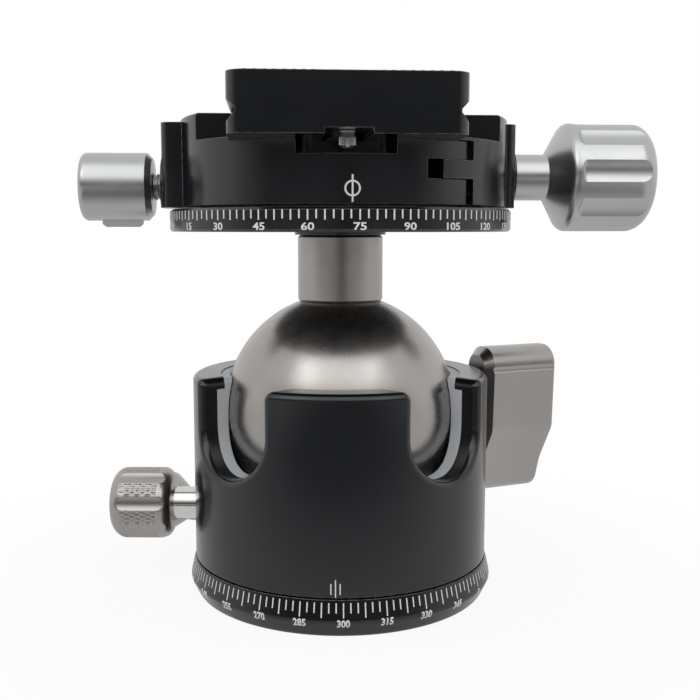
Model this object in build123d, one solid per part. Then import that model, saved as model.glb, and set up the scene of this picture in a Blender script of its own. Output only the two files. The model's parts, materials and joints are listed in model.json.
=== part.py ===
from build123d import *
import math
import os

# Tripod ball head, in millimetres. The origin is on the pan axis at the base's underside, +Z is up,
# and the clamp and its plate look along -Y. Azimuths are degrees anticlockwise from +X, from above.

# Fits
fit_gap = 0.02            # between pieces that are fastened together
running_gap = 0.05        # radial, between a shaft and its bore
ball_gap = 0.1            # between the ball and its seats
shoe_gap = 0.1            # left between a tightened shoe and what it grips
quarter_turn = 90         # how far each locking knob turns to tighten

past = 1.0                # how far a cutter runs past what it cuts
edge_tolerance = 0.01     # in finding the edges to be rounded

# Ball and neck: the housing grows from the ball outwards
ball_radius = 22.0
ball_clearance = 0.807    # under the ball, at the retainer ring's inner edge
ball_sink = 7.1           # ball centre below the housing's rim
ball_flat_drop = 1.4      # ball's flat below its full radius
neck_radius = 8.0
neck_length = 12.5
neck_chamfer = 0.45
neck_bolt_radius = 4.0
neck_bolt_depth = 9.0     # bolt's reach into the ball
neck_bolt_end_gap = 0.5
neck_bolt_head_radius = 6.2
neck_bolt_head_height = 4.0
hex_socket_radius = 2.9
hex_socket_depth = 2.5
neck_pin_radius = 1.25
neck_pin_circle = 6.1
neck_pin_length = 6.0

# Base
base_overhang = 1.0       # base's widest part beyond the housing
base_seam_overhang = 0.1  # base's top edge beyond the housing
base_widest_height = 3.0
base_height = 6.7
base_edge_round = 1.0
base_foot_inset = 1.4     # foot's edge inside the widest part
relief_inner_inset = 3.0  # foot's relief, inside the spigot
relief_outer_inset = 5.0  # and inside the base's widest part
relief_depth = 0.5
spigot_bore_radius = 9.6
slip_washer_thickness = 0.3
slip_washer_clearance = 1.0 # round the spigot
slip_washer_inset = 5.0   # inside the housing's outside
retainer_seat_gap = 1.2   # retainer ring to the lower seat's foot
retainer_overhang = 2.2   # retainer ring beyond the spigot
retainer_bore_inset = 4.4 # ring's bore inside the spigot's outside
retainer_thickness = 1.05
retainer_screw_inset = 2.1
retainer_screw_count = 6
retainer_screw_length = 5.0
tripod_thread_radius = 3.97
bush_radius = 6.4
bush_flange_radius = 8.0
bush_flange_height = 1.4
bush_height = 10.6

# Housing
housing_turn = -4.9       # the housing's front, turned from the clamp's front
wall_thickness = 3.6
liner_wall = 2.28
liner_top_inset = 0.2
liner_bottom_drop = 12.5  # liner's lower end below the ball's centre
lip_height = 2.1
lip_inset = 1.6           # lip's bore inside the wall's bore
housing_edge_round = 1.2
floor_thickness = 6.9
flange_inset = 1.0        # floor's flange inside the housing's outside
flange_height = 1.9
floor_screw_inset = 2.4
floor_screw_count = 6
floor_screw_length = 6.0
floor_screw_end_gap = 0.3
floor_screw_turn = 8      # keeps the screws clear of the knobs' bores
notch_spread = 45.8       # each drop notch, either side of the housing's front
notch_clearance = 0.6     # either side of the neck
notch_centre_drop = 1.0   # centre of the notch's round end below the ball's centre
notch_corner_round = 1.5
seat_spring_height = 1.5
seat_spring_sheet = 0.4
seat_spring_play = 0.25   # round the retainer ring
seat_bore_radius = 15.0
seat_body_inset = 3.4     # seat's body inside the wall's bore
seat_bevel = 1.6
seat_flange_drop = 15.0   # seat's flange, from its underside to the ball's centre
seat_top_drop = 12.8      # seat's top below the ball's centre

# Pan disc
disc_hub_radius = 8.6
disc_hub_height = 0.6
disc_radius = 31.65
disc_thickness = 4.0
disc_edge_chamfer = 0.4
disc_spigot_radius = 10.5
top_washer_inner_radius = 12.0
top_washer_outer_radius = 26.0
clamp_retainer_overhang = 2.1
clamp_retainer_thickness = 1.2
clamp_retainer_bore = 4.6
clamp_retainer_side_gap = 0.3
clamp_retainer_screw_circle = 8.7
clamp_retainer_screw_count = 4
clamp_retainer_screw_length = 4.5

# Clamp
clamp_radius = 29.5
clamp_floor_height = 10.6 # from the clamp's underside to the floor that the plate lies on
clamp_web_height = 6.5
clamp_edge_chamfer = 0.2
jaw_height = 5.2          # jaws above the clamp's floor
jaw_half_length = 14.5
jaw_shelf_rise = 0.6      # shelves before and behind the jaws, above the clamp's floor
jaw_width = 9.9           # movable jaw, from its split to the clamp's edge
jaw_gap = 1.2             # body to movable jaw with the plate gripped
jaw_floor_gap = 0.1
jaw_lip_gap = 0.08
jaw_top_round = 0.5
tab_length = 3.15         # fixed jaw's end beyond the clamp's edge
jaw_tab_length = 2.5
tab_root = 3.0            # tab's hold inside the clamp's edge
tab_half_width = 6.6
tab_corner_round = 2.0
tab_top_drop = 0.7
tab_boss_radius = 5.6
tab_boss_height = 0.3
tongue_height = 3.0
tongue_centre = 5.95      # above the clamp's underside
tongue_length = 4.5
tongue_root = 1.8         # tongue's hold inside the jaw
tongue_slot_length = 7.2
tongue_slot_gap = 0.1
screw_rib_half_width = 5.1
recess_half_width = 8.1
recess_depth = 2.5
recess_corner_round = 3.0
clamp_screw_height = 5.85 # above the clamp's underside
clamp_screw_radius = 3.0
clamp_screw_pitch = 1.0
clamp_screw_length = 6.7  # inside the clamp body
clamp_screw_play = 0.2    # round the screw where it passes the jaw
clamp_screw_end_gap = 1.7
guide_pin_radius = 0.9
guide_pin_offset = 14.0
guide_pin_height = 2.4    # above the clamp's underside
guide_pin_length = 5.5    # inside the clamp body
guide_pin_end_gap = 0.5
guide_pin_seat = 3.6      # pin's length inside the jaw
jaw_spring_wire = 0.3
jaw_spring_radius = 1.25
jaw_spring_play = 0.35    # round the spring in its pocket
jaw_spring_seat = 3.0     # depth of the spring's pocket in the clamp body
jaw_spring_turns = 3
knob_washer_radius = 4.8
knob_washer_thickness = 0.7
knob_counterbore_depth = 1.0

# Clamp knob
screw_grip = 8.0          # length of each screw inside its knob
clamp_knob_neck_radius = 4.3
clamp_knob_neck_length = 6.7
clamp_knob_radius = 10.1
clamp_knob_cone_length = 3.4
clamp_knob_cone_round = 1.6
clamp_knob_length = 26.2  # neck and cone included
clamp_knob_end_round = 3.8
clamp_knob_flutes = 9
clamp_knob_flute_radius = 5.9
clamp_knob_flute_depth = 0.55
clamp_knob_flute_inset = 1.0
clamp_knob_turn = -74.5     # first flute, from straight up

# Clamp's pan lock
clamp_lock_height = 3.9   # above the clamp's underside
clamp_lock_screw_radius = 2.5
clamp_lock_pitch = 0.8
clamp_lock_shoe_radius = 2.2
clamp_lock_shoe_length = 2.4
clamp_lock_knob_gap = 1.75 # thread that shows between jaw and knob
clamp_lock_knob_radius = 6.2
clamp_lock_knob_length = 12.95
clamp_lock_knob_bevel = 1.0
clamp_lock_knob_round = 1.1
clamp_lock_lobe_inset = 2.1
clamp_lock_lobe_length = 7.5
clamp_lock_lobe_rise = 0.75
clamp_lock_lobe_width = 5.0
clamp_lock_lobe_slope = 0.6
clamp_lock_lobe_turn = 25 # lobe, turned from straight down towards the back

# Main lock
lock_azimuth = 25
lock_drop = 4.8           # lock's axis below the ball's centre
lock_screw_radius = 4.0
lock_pitch = 1.25
lock_shoe_radius = 5.0
lock_shoe_inset = 0.4     # shoe's back inside the wall's bore
lock_bush_radius = 6.0
lock_bush_rise = 0.2      # bush beyond the housing's outside
lock_knob_gap = 0.8       # knob from the housing's outside
lock_knob_length = 16.2
lock_knob_half_height = 15.4
lock_knob_hub = 6.75      # widest half of the section, to the side of the axis
lock_knob_shoulder = 1.4  # where the wide side ends, below the axis
lock_knob_shoulder_round = 4.0
lock_lobe_bulge = 0.55
lock_lobe_radius = 3.9
lock_waist_side = 2.6
lock_waist_drop = 9.0
lock_waist_round = 10.0
lock_foot_side = 0.75
lock_foot_radius = 3.7
lock_knob_chamfer = 1.6
lock_knob_round = 0.7
lock_crease_radius = 1.0
lock_crease_depth = 0.22
lock_crease_drop = 4.3    # crease under the end lobe, below the knob's top

# Base pan lock
pan_lock_azimuth = 156
pan_lock_rise = 4.3       # lock's axis above the base's top
pan_lock_screw_radius = 2.5
pan_lock_pitch = 0.8
pan_lock_shoe_radius = 2.4
pan_lock_shoe_length = 3.0
pan_lock_knob_gap = 0.8
pan_lock_neck_radius = 3.2
pan_lock_neck_length = 6.6
pan_lock_cone_length = 4.6
pan_lock_body_length = 7.0
pan_lock_knob_radius = 6.2
pan_lock_screw_grip = 4.0

# Friction control
friction_azimuth = 180
friction_rise = 1.6       # control's axis above the floor's top
friction_screw_radius = 2.5
friction_pitch = 0.8
friction_plunger_radius = 2.4
friction_plunger_gap = 1.2
friction_plunger_nose = 2.0
friction_plunger_inset = 1.2
friction_shoulder_radius = 3.05
friction_shoulder_play = 0.3
friction_shoulder_length = 5.2
friction_counterbore_depth = 1.2
friction_knob_standoff = 4.5
friction_knob_length = 12.05
friction_knob_radius = 6.95
friction_knob_edge = 0.5
small_knob_flutes = 8
small_knob_flute_radius = 3.2
small_knob_flute_depth = 0.42
small_knob_flute_inset = 0.6
small_knob_end_round = 2.4
friction_knob_turn = 5    # first flute, from straight up

# Quick-release plate
plate_offset = -0.9       # plate's centre line from the pan axis, along X
plate_half_width = 18.8
plate_half_length = 35.0
plate_height = 9.4
plate_travel = 6.8        # slide either way, between its stops
plate_corner_round = 3.0
groove_bottom = 1.8       # dovetail groove, from the plate's underside
groove_top = 5.3
groove_depth = 1.5
channel_half_width = 3.75
channel_depth = 0.9
slot_half_width = 3.3
slot_half_length = 13.0
counterbore_half_width = 7.6
counterbore_height = 5.0
pad_inset = 1.4
pad_gap = 4.6             # pad's edge from the plate's centre line
pad_depth = 0.8
pad_rise = 0.3
pad_corner_round = 1.0
stop_screw_overhang = 0.7 # stop screw's centre beyond the clamp's edge
stop_screw_radius = 1.5
stop_screw_drop = 2.0     # head below the plate's underside
stop_screw_clearance = 0.2
stop_screw_shank_radius = 1.0
stop_screw_shank_length = 4.0
stop_screw_socket = 0.8
stop_screw_socket_depth = 1.2

# Camera screw
camera_screw_radius = 3.175
camera_screw_rise = 4.8   # thread above the plate
camera_screw_neck_radius = 2.7
camera_screw_neck_length = 2.4
camera_screw_thread_start = 0.1 # above the pads
camera_screw_head_radius = 6.8
camera_screw_head_height = 3.6
camera_washer_radius = 7.0
camera_washer_thickness = 0.6

# Small screws
small_screw_radius = 1.0
small_screw_head_radius = 1.9
small_screw_head_height = 0.9
small_screw_socket = 0.6
floor_screw_head_radius = 1.3
thread_depth = 0.35

# Radii and distances that follow from the sizes above
liner_bore_radius = ball_radius + ball_gap
wall_bore_radius = liner_bore_radius + liner_wall + fit_gap
housing_radius = wall_bore_radius + wall_thickness
lip_bore_radius = wall_bore_radius - lip_inset
flange_radius = housing_radius - flange_inset
floor_screw_circle = housing_radius - floor_screw_inset
base_radius = housing_radius + base_overhang
base_seam_radius = housing_radius + base_seam_overhang
base_foot_radius = base_radius - base_foot_inset
notch_half_width = neck_radius + notch_clearance
seat_body_radius = wall_bore_radius - seat_body_inset
seat_foot_radius = seat_body_radius - seat_bevel
retainer_radius = seat_foot_radius - retainer_seat_gap
spigot_radius = retainer_radius - retainer_overhang
retainer_bore_radius = spigot_radius - retainer_bore_inset
retainer_screw_circle = spigot_radius - retainer_screw_inset
relief_inner_radius = spigot_radius - relief_inner_inset
relief_outer_radius = base_radius - relief_outer_inset
slip_washer_inner_radius = spigot_radius + slip_washer_clearance
slip_washer_outer_radius = housing_radius - slip_washer_inset
clamp_retainer_radius = disc_spigot_radius + clamp_retainer_overhang
jaw_split = clamp_radius - jaw_width
clamp_screw_start = jaw_split - clamp_screw_length
guide_pin_start = jaw_split - guide_pin_length
guide_pin_end = jaw_split + jaw_gap + guide_pin_seat
tab_reach = clamp_radius + tab_length
jaw_tab_reach = clamp_radius + jaw_tab_length
jaw_face = jaw_tab_reach + tab_boss_height
knob_washer_start = jaw_face - knob_counterbore_depth
clamp_knob_start = knob_washer_start + knob_washer_thickness
clamp_knob_cone_start = clamp_knob_start + clamp_knob_neck_length
clamp_lock_knob_start = tab_reach + tab_boss_height + clamp_lock_knob_gap
lock_shoe_back = wall_bore_radius - lock_shoe_inset
lock_bush_reach = housing_radius + lock_bush_rise
lock_knob_start = housing_radius + lock_knob_gap
lock_knob_end = lock_knob_start + lock_knob_length
lock_screw_end = lock_knob_start + screw_grip
pan_lock_shoe_back = spigot_radius + pan_lock_shoe_length
pan_lock_knob_start = housing_radius + pan_lock_knob_gap
pan_lock_neck_end = pan_lock_knob_start + pan_lock_neck_length
pan_lock_cone_end = pan_lock_neck_end + pan_lock_cone_length
pan_lock_knob_end = pan_lock_cone_end + pan_lock_body_length
pan_lock_screw_end = pan_lock_cone_end + pan_lock_screw_grip
friction_plunger_tip = seat_foot_radius + friction_plunger_gap
friction_plunger_back = wall_bore_radius - friction_plunger_inset
friction_counterbore = housing_radius - friction_counterbore_depth
friction_knob_start = housing_radius + friction_knob_standoff
friction_knob_end = friction_knob_start + friction_knob_length
friction_screw_end = friction_knob_start + screw_grip
plate_left = plate_offset - plate_half_width
plate_right = plate_offset + plate_half_width
stop_screw_place = clamp_radius + stop_screw_overhang
recess_end = stop_screw_place - plate_travel - stop_screw_radius - stop_screw_clearance

# Heights that follow
floor_bottom = base_height + slip_washer_thickness
floor_top = floor_bottom + floor_thickness
spigot_top = floor_top + running_gap
retainer_top = spigot_top + retainer_thickness
ball_height = retainer_top + ball_clearance + math.sqrt(ball_radius**2 - retainer_bore_radius**2)
housing_top = ball_height + ball_sink
liner_bottom = ball_height - liner_bottom_drop
notch_centre = ball_height - notch_centre_drop
seat_bottom = floor_top + seat_spring_height
seat_flange_bottom = ball_height - seat_flange_drop
seat_top = ball_height - seat_top_drop
lock_height = ball_height - lock_drop
pan_lock_height = base_height + pan_lock_rise
friction_height = floor_top + friction_rise
neck_bottom = ball_height + ball_radius - ball_flat_drop
neck_top = neck_bottom + neck_length
disc_bottom = neck_top + disc_hub_height
disc_top = disc_bottom + disc_thickness
clamp_bottom = disc_top + slip_washer_thickness
web_top = clamp_bottom + clamp_web_height
disc_spigot_top = web_top + running_gap
clamp_floor = clamp_bottom + clamp_floor_height
jaw_top = clamp_floor + jaw_height
jaw_shelf = clamp_floor + jaw_shelf_rise
recess_floor = clamp_floor - recess_depth
plate_top = clamp_floor + plate_height
channel_top = clamp_floor + channel_depth
clamp_screw_axis = clamp_bottom + clamp_screw_height
tongue_axis = clamp_bottom + tongue_centre
guide_pin_axis = clamp_bottom + guide_pin_height
clamp_lock_axis = clamp_bottom + clamp_lock_height
bolt_head_bottom = disc_spigot_top - neck_bolt_head_height - fit_gap


def advance(pitch):
    # How far a screw moves when its knob is tightened
    return pitch * quarter_turn / 360


def outline(corners, rounded=None):
    rounded = rounded or {}
    radii = [rounded.get(index, 0) for index in range(len(corners))]
    if any(radii):
        return make_face(FilletPolyline(*corners, radius=radii, close=True))
    return make_face(Polyline(*corners, close=True))


def turned_z(corners, rounded=None):
    # Corners are (radius, height) about the vertical axis
    return revolve(Plane.XZ * outline(corners, rounded), Axis.Z)


def turned_x(corners, rounded=None):
    # Corners are (distance along +X, radius)
    return revolve(outline(corners, rounded), Axis.X)


def post(radius, bottom, top):
    base_up = (Align.CENTER, Align.CENTER, Align.MIN)
    return Pos(0, 0, bottom) * Cylinder(radius, top - bottom, align=base_up)


def tube(outer, inner, bottom, top):
    return post(outer, bottom, top) - post(inner, bottom - past, top + past)


def rod(radius, start, end):
    return Pos(start, 0, 0) * Rot(0, 90, 0) * post(radius, 0, end - start)


def block(left, right, front, back, bottom, top):
    corner = (Align.MIN, Align.MIN, Align.MIN)
    return Pos(left, front, bottom) * Box(right - left, back - front, top - bottom, align=corner)


def outward(shape, azimuth, height):
    # Turns a shape that points along +X to an azimuth, and lifts it
    return Pos(0, 0, height) * Rot(0, 0, azimuth) * shape


def on_housing(shape, azimuth, height=0):
    return outward(shape, azimuth + housing_turn, height)


def around(shape, radius, count, start=0):
    # Copies of an upright shape, evenly spaced round the vertical axis
    step = 360 / count
    return [Rot(0, 0, start + step * number) * Pos(radius, 0, 0) * shape for number in range(count)]


def cut_all(body, cutters):
    for cutter in cutters:
        body = body - cutter
    return body


def thread_corners(start, end, radius, pitch):
    # Ridges along the outside of a screw, from start to end
    corners = []
    count = max(1, int((end - start) / pitch))
    step = (end - start) / count
    for number in range(count):
        left = start + number * step
        corners.append((left, radius - thread_depth))
        corners.append((left + step / 2, radius))
    corners.append((end, radius - thread_depth))
    return corners


def threaded_rod(start, thread_end, end, radius, pitch):
    # A screw along +X: thread from start to thread_end, then plain to end
    corners = [(start, 0)] + thread_corners(start, thread_end, radius, pitch)
    if end > thread_end:
        corners = corners + [(thread_end, radius), (end, radius)]
    return turned_x(corners + [(end, 0)])


def small_screw(top, length, head_radius=small_screw_head_radius):
    # Countersunk screw standing with its head at top, and a round driver socket
    shank = small_screw_radius - fit_gap
    cone = head_radius - shank
    neck = top - max(small_screw_head_height, cone)
    corners = [
        (0, top - small_screw_socket),
        (small_screw_socket, top - small_screw_socket),
        (small_screw_socket, top),
        (head_radius, top),
        (shank, neck),
        (shank, top - length),
        (0, top - length),
    ]
    return turned_z(corners)


def small_screw_hole(top, length, head_radius=small_screw_head_radius):
    cone = head_radius - small_screw_radius
    neck = top - max(small_screw_head_height, cone)
    corners = [
        (0, top + past),
        (head_radius + fit_gap, top + past),
        (head_radius + fit_gap, top),
        (small_screw_radius, neck),
        (small_screw_radius, top - length - fit_gap),
        (0, top - length - fit_gap),
    ]
    return turned_z(corners)


def hex_socket(radius, bottom, top):
    return Pos(0, 0, bottom) * extrude(RegularPolygon(radius, 6), top - bottom)


def fluted(knob, axis_radius, start, end, count, flute_radius, depth, first=0):
    # Cuts shallow round-ended flutes along a knob that lies on the X axis
    centre = axis_radius - depth + flute_radius
    cutter = rod(flute_radius, start, end)
    cutter = fillet(cutter.edges().sort_by(Axis.X)[0], depth * 2)
    for number in range(count):
        turn = first + number * 360 / count
        knob = knob - Rot(turn, 0, 0) * Pos(0, 0, centre) * cutter
    return knob


# Base


def make_base_plate():
    profile = [
        (bush_radius, 0),
        (base_foot_radius, 0),
        (base_radius, base_widest_height),
        (base_seam_radius, base_height),
        (spigot_radius, base_height),
        (spigot_radius, spigot_top),
        (spigot_bore_radius, spigot_top),
        (spigot_bore_radius, bush_height - bush_flange_height),
        (bush_radius, bush_height - bush_flange_height),
    ]
    plate = turned_z(profile, {1: base_edge_round, 2: base_edge_round})
    plate = plate - tube(relief_outer_radius, relief_inner_radius, -past, relief_depth)
    hole = small_screw_hole(retainer_top, retainer_screw_length)
    return cut_all(plate, around(hole, retainer_screw_circle, retainer_screw_count))


def make_tripod_bush():
    outer = bush_radius - fit_gap
    flange = bush_flange_radius
    step = bush_height - bush_flange_height
    profile = [
        (tripod_thread_radius, 0),
        (outer, 0),
        (outer, step),
        (flange, step),
        (flange, bush_height),
        (tripod_thread_radius, bush_height),
    ]
    return turned_z(profile)


def make_pan_washer():
    return tube(slip_washer_outer_radius, slip_washer_inner_radius, base_height, floor_bottom)


def make_retainer_ring():
    ring = tube(retainer_radius, retainer_bore_radius, spigot_top, retainer_top)
    hole = small_screw_hole(retainer_top, retainer_screw_length)
    return cut_all(ring, around(hole, retainer_screw_circle, retainer_screw_count))


def make_retainer_screws():
    screw = small_screw(retainer_top, retainer_screw_length)
    return around(screw, retainer_screw_circle, retainer_screw_count)


# Housing


def notch_cutter(start):
    # The U-shaped slot that the neck drops into, pointing along +X
    half = notch_half_width
    round_off = notch_corner_round
    top = housing_top
    mid = round_off * math.sqrt(0.5)
    shoulder = top - round_off
    above = top + past
    left_arc = ThreePointArc(
        (-half - round_off, top),
        (-half - round_off + mid, shoulder + mid),
        (-half, shoulder),
    )
    right_arc = ThreePointArc(
        (half, shoulder),
        (half + round_off - mid, shoulder + mid),
        (half + round_off, top),
    )
    bottom_arc = ThreePointArc(
        (-half, notch_centre),
        (0, notch_centre - half),
        (half, notch_centre),
    )
    edges = [
        left_arc,
        Line((-half, shoulder), (-half, notch_centre)),
        bottom_arc,
        Line((half, notch_centre), (half, shoulder)),
        right_arc,
        Line((half + round_off, top), (half + round_off, above)),
        Line((half + round_off, above), (-half - round_off, above)),
        Line((-half - round_off, above), (-half - round_off, top)),
    ]
    face = make_face(edges)
    plane = Plane(origin=(start, 0, 0), x_dir=(0, 1, 0), z_dir=(1, 0, 0))
    return extrude(plane * face, housing_radius)


def notch_azimuths():
    return [-90 - notch_spread, -90 + notch_spread]


def make_housing():
    lip_bottom = housing_top - lip_height
    flange_top = floor_bottom + flange_height
    profile = [
        (flange_radius + fit_gap, floor_bottom),
        (housing_radius, floor_bottom),
        (housing_radius, housing_top),
        (lip_bore_radius, housing_top),
        (lip_bore_radius, lip_bottom),
        (wall_bore_radius, lip_bottom),
        (wall_bore_radius, flange_top),
        (flange_radius + fit_gap, flange_top),
    ]
    shell = turned_z(profile)
    for azimuth in notch_azimuths():
        shell = shell - on_housing(notch_cutter(neck_radius), azimuth)
    outer_edges = [edge for edge in shell.edges() if is_outer_edge(edge)]
    shell = fillet(outer_edges, housing_edge_round)
    reach = housing_radius + past
    lock_bore = rod(lock_bush_radius + fit_gap, 0, reach)
    shell = shell - on_housing(lock_bore, lock_azimuth, lock_height)
    friction_bore = rod(friction_screw_radius + running_gap, 0, reach)
    shoulder_radius = friction_shoulder_radius + friction_shoulder_play
    friction_bore = friction_bore + rod(shoulder_radius, friction_counterbore, reach)
    shell = shell - on_housing(friction_bore, friction_azimuth, friction_height)
    pan_bore = rod(pan_lock_screw_radius + running_gap, 0, reach)
    shell = shell - on_housing(pan_bore, pan_lock_azimuth, pan_lock_height)
    hole = post(small_screw_radius, 0, floor_bottom + floor_screw_length + floor_screw_end_gap)
    return cut_all(shell, on_floor_screw_circle(hole))


def is_outer_edge(edge):
    # The rim and the notches' edges, where they meet the outside of the housing
    points = [edge @ 0, edge @ 0.5, edge @ 1]
    distances = [math.hypot(point.X, point.Y) - housing_radius for point in points]
    outside = all(abs(distance) < edge_tolerance for distance in distances)
    return outside and all(point.Z > floor_top for point in points)


def on_floor_screw_circle(shape):
    pieces = around(shape, floor_screw_circle, floor_screw_count, floor_screw_turn)
    return [on_housing(piece, 0) for piece in pieces]


def make_floor_plate():
    outer = wall_bore_radius - fit_gap
    bore = spigot_radius + running_gap
    flange_top = floor_bottom + flange_height - fit_gap
    profile = [
        (bore, floor_bottom),
        (flange_radius, floor_bottom),
        (flange_radius, flange_top),
        (outer, flange_top),
        (outer, floor_top),
        (bore, floor_top),
    ]
    plate = turned_z(profile)
    pan_bore = rod(pan_lock_screw_radius + running_gap, 0, housing_radius)
    plate = plate - on_housing(pan_bore, pan_lock_azimuth, pan_lock_height)
    groove = rod(friction_screw_radius + running_gap, 0, housing_radius)
    plate = plate - on_housing(groove, friction_azimuth, friction_height)
    hole = small_screw_hole(0, floor_screw_length, floor_screw_head_radius)
    return cut_all(plate, on_floor_screw_circle(from_below(hole)))


def make_floor_screws():
    screw = small_screw(0, floor_screw_length, floor_screw_head_radius)
    return on_floor_screw_circle(from_below(screw))


def from_below(screw):
    # Turns a screw over, its head in the floor plate's underside
    return Pos(0, 0, floor_bottom) * Rot(180, 0, 0) * screw


def make_ball_liner():
    outer = wall_bore_radius - fit_gap
    inner = liner_bore_radius
    collar = lip_bore_radius - fit_gap
    shoulder = housing_top - lip_height - fit_gap
    top = housing_top - liner_top_inset
    profile = [
        (inner, liner_bottom),
        (outer, liner_bottom),
        (outer, shoulder),
        (collar, shoulder),
        (collar, top),
        (neck_radius, top),
        (neck_radius, ball_height),
        (inner, ball_height),
    ]
    liner = turned_z(profile)
    liner = liner - Pos(0, 0, ball_height) * Sphere(ball_radius + ball_gap)
    for azimuth in notch_azimuths():
        liner = liner - on_housing(notch_cutter(neck_radius), azimuth)
    window = rod(lock_shoe_radius + running_gap, 0, housing_radius)
    return liner - on_housing(window, lock_azimuth, lock_height)


def make_lower_seat():
    profile = [
        (seat_bore_radius, seat_bottom),
        (seat_foot_radius, seat_bottom),
        (seat_body_radius, seat_bottom + seat_bevel),
        (seat_body_radius, seat_flange_bottom),
        (wall_bore_radius - running_gap, seat_flange_bottom),
        (wall_bore_radius - running_gap, seat_top),
        (seat_bore_radius, seat_top),
    ]
    return turned_z(profile) - Pos(0, 0, ball_height) * Sphere(ball_radius + ball_gap)


def make_seat_spring():
    # Coned disc spring between the floor plate and the lower seat
    inner = retainer_radius + seat_spring_play
    sheet = seat_spring_sheet
    profile = [
        (seat_foot_radius - sheet, floor_top),
        (seat_foot_radius, floor_top),
        (inner + sheet, seat_bottom),
        (inner, seat_bottom),
    ]
    return turned_z(profile)


# Main lock


def make_lock_bush():
    bush = rod(lock_bush_radius, wall_bore_radius + fit_gap, lock_bush_reach)
    bore = rod(lock_screw_radius + running_gap, 0, lock_bush_reach + past)
    return on_housing(bush - bore, lock_azimuth, lock_height)


def make_lock_shoe():
    shoe = rod(lock_shoe_radius, 0, lock_shoe_back)
    reach = ball_radius + shoe_gap + advance(lock_pitch)
    hollow = Pos(0, 0, ball_height - lock_height) * Sphere(reach)
    return on_housing(shoe - hollow, lock_azimuth, lock_height)


def make_lock_screw():
    thread_end = lock_bush_reach
    screw = threaded_rod(lock_shoe_back, thread_end, lock_screw_end, lock_screw_radius, lock_pitch)
    return on_housing(screw, lock_azimuth, lock_height)


def wing_outline():
    # Two-lobed section across the knob's axis: first coordinate to the side, second up
    half = lock_knob_half_height
    side = lock_knob_hub
    near = [
        (side + lock_lobe_bulge, half),
        (side, -lock_knob_shoulder),
        (lock_waist_side, -lock_waist_drop),
        (lock_foot_side, -half),
    ]
    far = [(-across, -up) for across, up in near]
    rounds = [lock_lobe_radius, lock_knob_shoulder_round, lock_waist_round, lock_foot_radius]
    return make_face(FilletPolyline(*near, *far, radius=rounds + rounds, close=True))


def lobe_creases():
    # A shallow crease under each end lobe, along the knob's wide sides
    crease = rod(lock_crease_radius, lock_knob_start - past, lock_knob_end + past)
    reach = lock_knob_hub + lock_lobe_bulge + lock_crease_radius - lock_crease_depth
    rise = lock_knob_half_height - lock_crease_drop
    lean = lock_lobe_bulge * lock_crease_drop / (lock_knob_half_height + lock_knob_shoulder)
    return [Pos(0, side * (lean - reach), side * rise) * crease for side in (1, -1)]


def make_lock_knob():
    plane = Plane(origin=(lock_knob_start, 0, 0), x_dir=(0, -1, 0), z_dir=(-1, 0, 0))
    knob = extrude(plane * wing_outline(), lock_knob_start - lock_knob_end)
    outer_end = knob.faces().sort_by(Axis.X)[-1]
    knob = fillet(outer_end.edges(), lock_knob_round)
    inner_end = knob.faces().sort_by(Axis.X)[0]
    knob = chamfer(inner_end.edges(), lock_knob_chamfer)
    for crease in lobe_creases():
        knob = knob - crease
    knob = knob - rod(lock_screw_radius + fit_gap, 0, lock_screw_end)
    return on_housing(knob, lock_azimuth, lock_height)


# Base pan lock


def make_pan_lock_shoe():
    shoe = rod(pan_lock_shoe_radius, 0, pan_lock_shoe_back)
    reach = spigot_radius + shoe_gap + advance(pan_lock_pitch)
    shoe = shoe - post(reach, -2 * pan_lock_shoe_radius, 2 * pan_lock_shoe_radius)
    return on_housing(shoe, pan_lock_azimuth, pan_lock_height)


def make_pan_lock_screw():
    start = pan_lock_shoe_back
    end = pan_lock_screw_end
    screw = threaded_rod(start, pan_lock_knob_start, end, pan_lock_screw_radius, pan_lock_pitch)
    return on_housing(screw, pan_lock_azimuth, pan_lock_height)


def make_pan_lock_knob():
    radius = pan_lock_knob_radius
    profile = [
        (pan_lock_knob_start, 0),
        (pan_lock_knob_start, pan_lock_neck_radius),
        (pan_lock_neck_end, pan_lock_neck_radius),
        (pan_lock_cone_end, radius),
        (pan_lock_knob_end, radius),
        (pan_lock_knob_end, 0),
    ]
    knob = turned_x(profile, {4: small_knob_end_round})
    knob = small_fluted(knob, radius, pan_lock_cone_end + small_knob_flute_inset, pan_lock_knob_end + past)
    knob = knob - rod(pan_lock_screw_radius + fit_gap, 0, pan_lock_screw_end)
    return on_housing(knob, pan_lock_azimuth, pan_lock_height)


def small_fluted(knob, radius, start, end, first=0):
    return fluted(
        knob, radius, start, end, small_knob_flutes, small_knob_flute_radius, small_knob_flute_depth, first
    )


# Friction control


def make_friction_plunger():
    radius = friction_plunger_radius
    tip = friction_plunger_tip
    profile = [
        (tip, 0),
        (tip, radius - friction_plunger_nose),
        (tip + friction_plunger_nose, radius),
        (friction_plunger_back, radius),
        (friction_plunger_back, 0),
    ]
    return on_housing(turned_x(profile), friction_azimuth, friction_height)


def make_friction_screw():
    start = friction_plunger_back
    thread_end = friction_counterbore
    end = friction_screw_end
    shoulder_start = friction_knob_start - friction_shoulder_length
    radius = friction_screw_radius
    corners = [(start, 0)] + thread_corners(start, thread_end, radius, friction_pitch)
    corners = corners + [
        (thread_end, radius),
        (shoulder_start, radius),
        (shoulder_start, friction_shoulder_radius),
        (friction_knob_start, friction_shoulder_radius),
        (friction_knob_start, radius),
        (end, radius),
        (end, 0),
    ]
    return on_housing(turned_x(corners), friction_azimuth, friction_height)


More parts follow.
